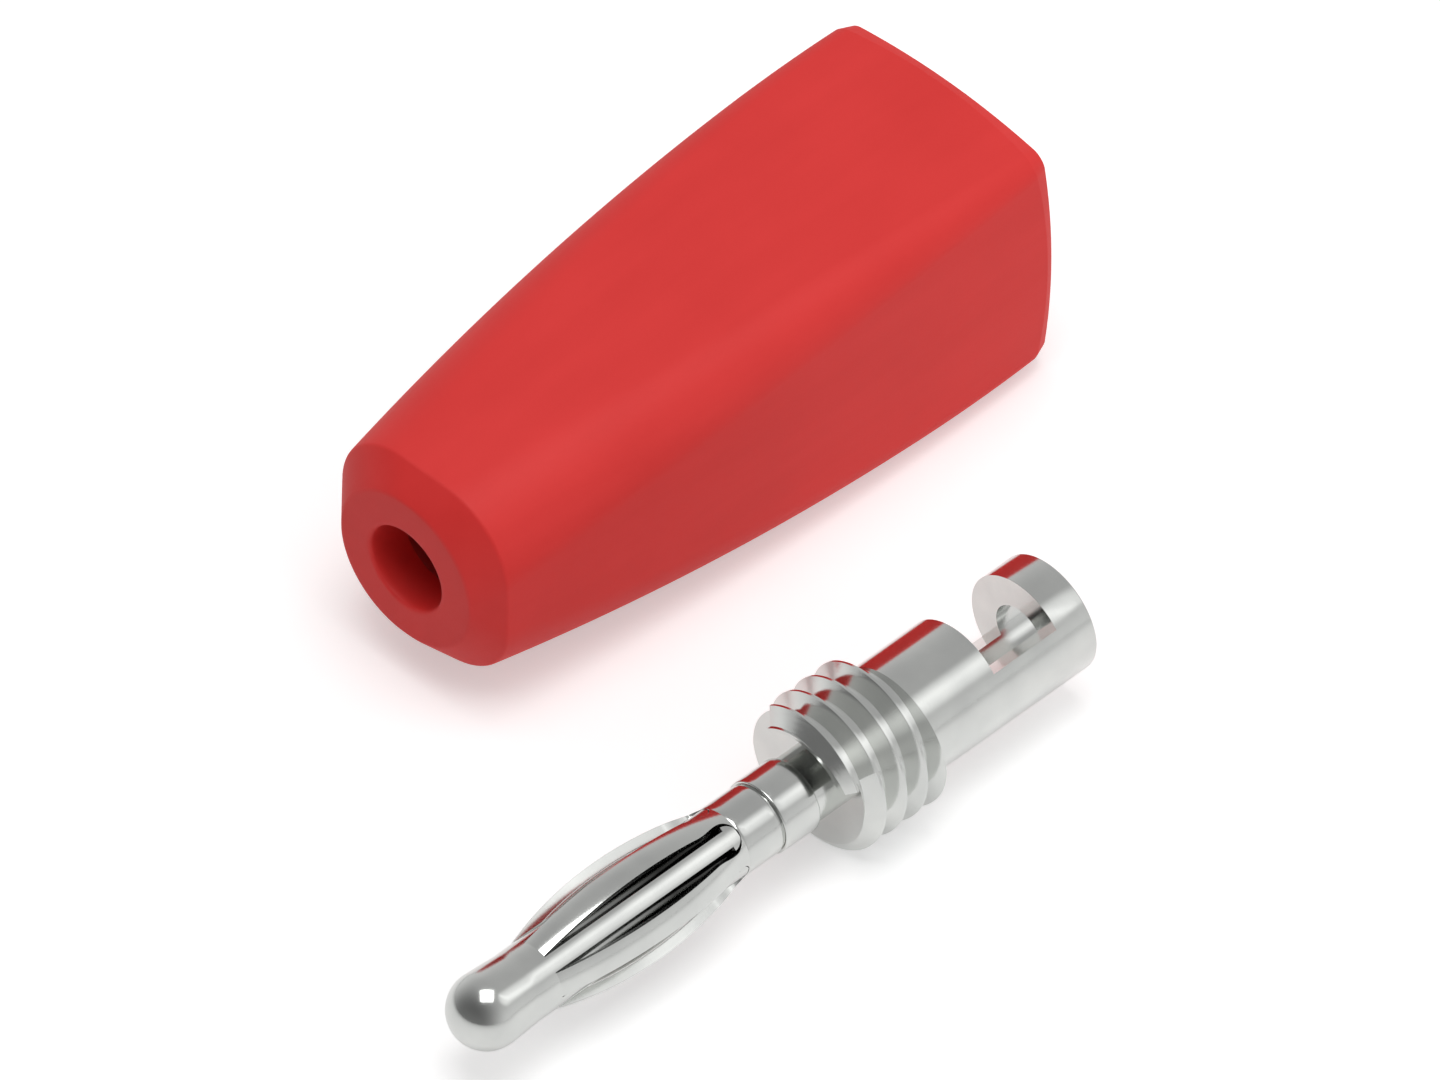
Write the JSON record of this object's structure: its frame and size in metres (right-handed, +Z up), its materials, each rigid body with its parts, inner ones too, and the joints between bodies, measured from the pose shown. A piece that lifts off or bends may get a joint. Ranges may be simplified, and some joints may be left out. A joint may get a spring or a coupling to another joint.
{
  "type": "banana plug",
  "caption": "Banana plug taken apart: a plated contact with ball nose, bowed spring leaves, screw thread and notched wire socket, beside its tapered red insulating sleeve.",
  "frame": {"origin": "centre of the bounding box's base, on the floor that the contact and the sleeve lie on", "axes": "+X along both pieces, from the ball nose to the rear; +Y from the contact towards the sleeve; +Z up"},
  "size_m": [0.0392, 0.0236, 0.0104],
  "materials": {
    "red_plastic": "moulded, satin",
    "nickel_spring": "bright nickel plate",
    "nickel_body": "bright nickel plate, turned"
  },
  "bodies": {
    "root": {"insulating_sleeve": "red_plastic", "spring_contact": "nickel_spring", "contact_body": "nickel_body"}
  },
  "joints": []
}
